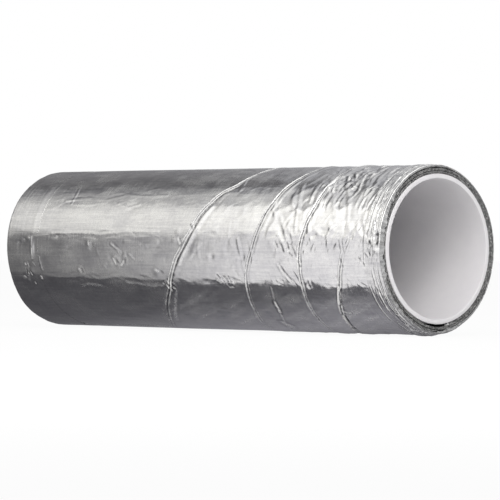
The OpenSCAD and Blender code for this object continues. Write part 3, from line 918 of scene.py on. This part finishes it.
far_foil = foil("far_collar_foil", **SKIN_FOIL)
far_collar = collar("collar_far", far_foil, side=-1, width=FAR_WIDTH, layers=0, folds=far_creases,
                    steps=40, turned_in=far_lip, thinned_over=9)
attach(far_collar, "root")
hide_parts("far_collar")

# ---------------------------------------------------------------- Camera
# A long lens about three metres away, level with the duct's axis and 44 degrees round from it towards the
# open near end.

LENS, SENSOR, SEEN_TO = 257.4, 36, 50  # the last is in metres
AXIS_TURN, AXIS_TILT = -43.91, -0.212
RIM_RIGHT, RIM_DOWN, RIM_AWAY = 165.2, -1.0, 3134.6  # the near rim's centre, seen from the camera
turn, tilt = math.radians(AXIS_TURN), math.radians(AXIS_TILT)
to_far_end = Vector((math.sin(turn) * math.cos(tilt), math.sin(tilt), math.cos(turn) * math.cos(tilt)))
upward = (Vector((0, -1, 0)) - to_far_end * -to_far_end.y).normalized()
sideways = to_far_end.cross(upward)
seen_axes = Matrix((-to_far_end, sideways, upward)).transposed()  # the duct's axes as the camera sees them
to_rim = Vector((RIM_RIGHT, RIM_DOWN, RIM_AWAY)) * MM
place = Vector((half_length * MM, 0, 0)) - seen_axes.transposed() @ to_rim
camera = put_in_scene("camera", bpy.data.cameras.new("camera"))
flip = Matrix(((1, 0, 0), (0, -1, 0), (0, 0, -1)))
camera.matrix_world = Matrix.Translation(place) @ (seen_axes.transposed() @ flip).to_4x4()
camera.data.lens, camera.data.sensor_width, camera.data.clip_end = LENS, SENSOR, SEEN_TO
bpy.context.scene.camera = camera

# ---------------------------------------------------------------- Studio
# A white floor with a white wall all round it, soft boxes above and over the open end, and glowing cards
# placed as a product studio sets cards for metal but seen only in reflections: painted reflections that
# light nothing and cast no shadow. A graded one stands in front, a dark one underneath paints the floor's
# shade into the reflections, one beyond the far end and two overhead.

WALL_AWAY, WALL_HEIGHT, WALL_SIDES = 11.5, 1.2, 48
BACKDROP_COLOUR = (0.85, 0.85, 0.85, 1)
floor_level = cad_box[0].z


def stand(name, corners, faces, finish):
    """Flat sheets through corners, in metres, that belong to the studio."""
    mesh = bpy.data.meshes.new(name)
    mesh.from_pydata(corners, [], faces)
    mesh.materials.append(finish)
    card = put_in_scene(name, mesh)
    return card


def backdrop(name, white_share):
    """Pale paint; white_share is how far it shows as plain white."""
    finish, here, feed = new_finish(name, BACKDROP_COLOUR, Roughness=0.9)
    rays = here.node("ShaderNodeLightPath", out="Is Camera Ray")
    for kind in ("Is Glossy Ray", "Is Transmission Ray"):
        rays = rays.math("MAXIMUM", rays, here.node("ShaderNodeLightPath", out=kind))
    glow = here.node("ShaderNodeEmission", values={"Color": (1, 1, 1, 1), "Strength": 1.0})
    body = Shade(here.tree, here.tree.nodes["Principled BSDF"].outputs[0])
    mixed = here.node("ShaderNodeMixShader", values={0: rays * white_share, 1: body, 2: glow})
    here.tree.links.new(mixed.socket, here.tree.nodes["Material Output"].inputs[0])
    return finish


ring = [(WALL_AWAY * math.cos(a), WALL_AWAY * math.sin(a)) for a in np.radians(ring_angles(WALL_SIDES))]
foot = [(x, y, floor_level) for x, y in ring]
head = [(x, y, floor_level + WALL_HEIGHT) for x, y in ring]
steps = [(k, (k + 1) % WALL_SIDES) for k in range(WALL_SIDES)]
sides = [(a, b, b + WALL_SIDES, a + WALL_SIDES) for a, b in steps]
stand("floor", foot, [list(range(WALL_SIDES))], backdrop("floor", 0.95))
stand("wall", foot + head, sides, backdrop("wall", 1.0))


def glossy_card(name, corners, faces, graded_by, stops, tint=(1, 1, 1)):
    """A glowing card that only reflections see, a painted reflection that lights nothing and casts no
    shadow. Its tone goes by how far a place lies along graded_by, in metres.
    """
    finish = bpy.data.materials.new(name)
    finish.use_nodes = True
    here = Shade(finish.node_tree)
    place = here.node("ShaderNodeNewGeometry", out="Position")
    along = here.node("ShaderNodeVectorMath", {"operation": "DOT_PRODUCT"}, {0: place, 1: graded_by}, out=1)
    low, high = stops[0][0], stops[-1][0]
    share = spread(here, along, low, high)
    tones = [((at - low) / (high - low), (*(tone * part for part in tint), 1)) for at, tone in stops]
    tone = ramp(here, share, tones)
    glow = here.node("ShaderNodeEmission", values={"Color": tone, "Strength": 1.0})
    here.tree.links.new(glow.socket, here.tree.nodes["Material Output"].inputs[0])
    card = stand(name, corners, faces, finish)
    card.visible_camera = card.visible_diffuse = card.visible_shadow = card.visible_transmission = False


CARD_LIFT = 0.0001
CARD_LEFT, CARD_RIGHT, CARD_FRONT, CARD_BACK, CARD_TOP = -3.0, 1.2, -0.6, 0.2, 0.2
EDGE_LEFT, EDGE_RIGHT = -0.317, -0.023  # where the graded card ends and the dark one begins
low = floor_level + CARD_LIFT
edge = [(CARD_LEFT, EDGE_LEFT, low), (CARD_RIGHT, EDGE_RIGHT, low)]
one_sheet = [(0, 1, 2, 3)]
glossy_card("graded_card",
            [*edge, (CARD_RIGHT, CARD_FRONT, low), (CARD_LEFT, CARD_FRONT, low),
             (CARD_LEFT, CARD_FRONT, CARD_TOP), (CARD_RIGHT, CARD_FRONT, CARD_TOP)],
            [(0, 1, 2, 3), (3, 2, 5, 4)], (1, -1, 0), [(-0.2, 0.18), (-0.03, 0.42), (0.14, 0.88)],
            (1.01, 0.994, 1.01))
glossy_card("dark_card", [*edge, (CARD_RIGHT, CARD_BACK, low), (CARD_LEFT, CARD_BACK, low)],
            one_sheet, (0.18, 1, 0), [(-0.15, 0.093), (-0.08, 0.112), (-0.055, 0.13), (-0.025, 0.22),
                                      (0.0, 0.27), (0.03, 0.19), (0.06, 0.15)], (0.99, 0.972, 1.06))
glossy_card("side_card", [(-2.2, -1.5, low), (-2.2, 1.5, low), (-2.2, 1.5, 0.6), (-2.2, -1.5, 0.6)],
            one_sheet, (0, 0, 1), [(0, 0.12), (0.6, 0.2)])
glossy_card("flag", [(-6, 0.12, 1.45), (-1.1, 0.12, 1.45), (-2.55, 2.3, 1.45), (-6, 2.3, 1.45)],
            one_sheet, (0, 1, 0), [(0.12, 0.13), (0.75, 0.19), (1.5, 0.25), (2.3, 0.27)], (1.01, 0.99, 1.03))
glossy_card("top_card", [(-0.1, -2.5, 1.6), (1.6, -2.5, 1.6), (1.6, 0.8, 1.6), (-0.1, 0.8, 1.6)],
            one_sheet, (1, 0, 0), [(-0.1, 0.9), (0.4, 1.4)])


def soft_box(name, at, aim, width, height, radiance, colour):
    """A rectangular lamp whose light per area stays the same whatever its size."""
    lamp = bpy.data.lights.new(name, "AREA")
    lamp.color = colour
    lamp.shape, lamp.size, lamp.size_y = "RECTANGLE", width, height
    lamp.energy = radiance * math.pi * width * height
    box = put_in_scene(name, lamp)
    box.location = at
    box.rotation_euler = (Vector(aim) - Vector(at)).to_track_quat("-Z", "Y").to_euler()


WARM_WHITE = (1, 0.982, 0.93)
soft_box("overhead", (-1.1, -0.76, 0.93), (-1.1, 0, 0), 1.9, 1.58, 0.31, WARM_WHITE)
soft_box("key", (-0.95, -0.9, 0.775), (-0.95, 0, 0), 1.5, 0.9, 0.515, WARM_WHITE)
soft_box("mouth", (1.15, -0.85, 0.9), (0.25, 0, 0), 1.1, 1.1, 5.0, (1, 0.985, 0.965))

world = bpy.data.worlds.new("room")
world.use_nodes = True
room = Shade(world.node_tree)
facing_way = room.node("ShaderNodeVectorMath", {"operation": "DOT_PRODUCT"},
                       {0: room.node("ShaderNodeTexCoord", out="Generated"), 1: (1, 0, 0)}, out=1)
share = spread(room, facing_way, -0.8, 0.1)
tone = ramp(room, share, [(0, (0.153, 0.151, 0.162, 1)), (0.06, (0.199, 0.197, 0.207, 1)),
                          (0.13, (0.45, 0.45, 0.47, 1)), (0.3, (0.64, 0.64, 0.65, 1)),
                          (0.6, (0.57, 0.57, 0.57, 1)), (1, (0.38, 0.378, 0.39, 1))])
room.tree.links.new(tone.socket, world.node_tree.nodes["Background"].inputs["Color"])
bpy.context.scene.world = world
bpy.context.scene.view_settings.view_transform = "Standard"

import json
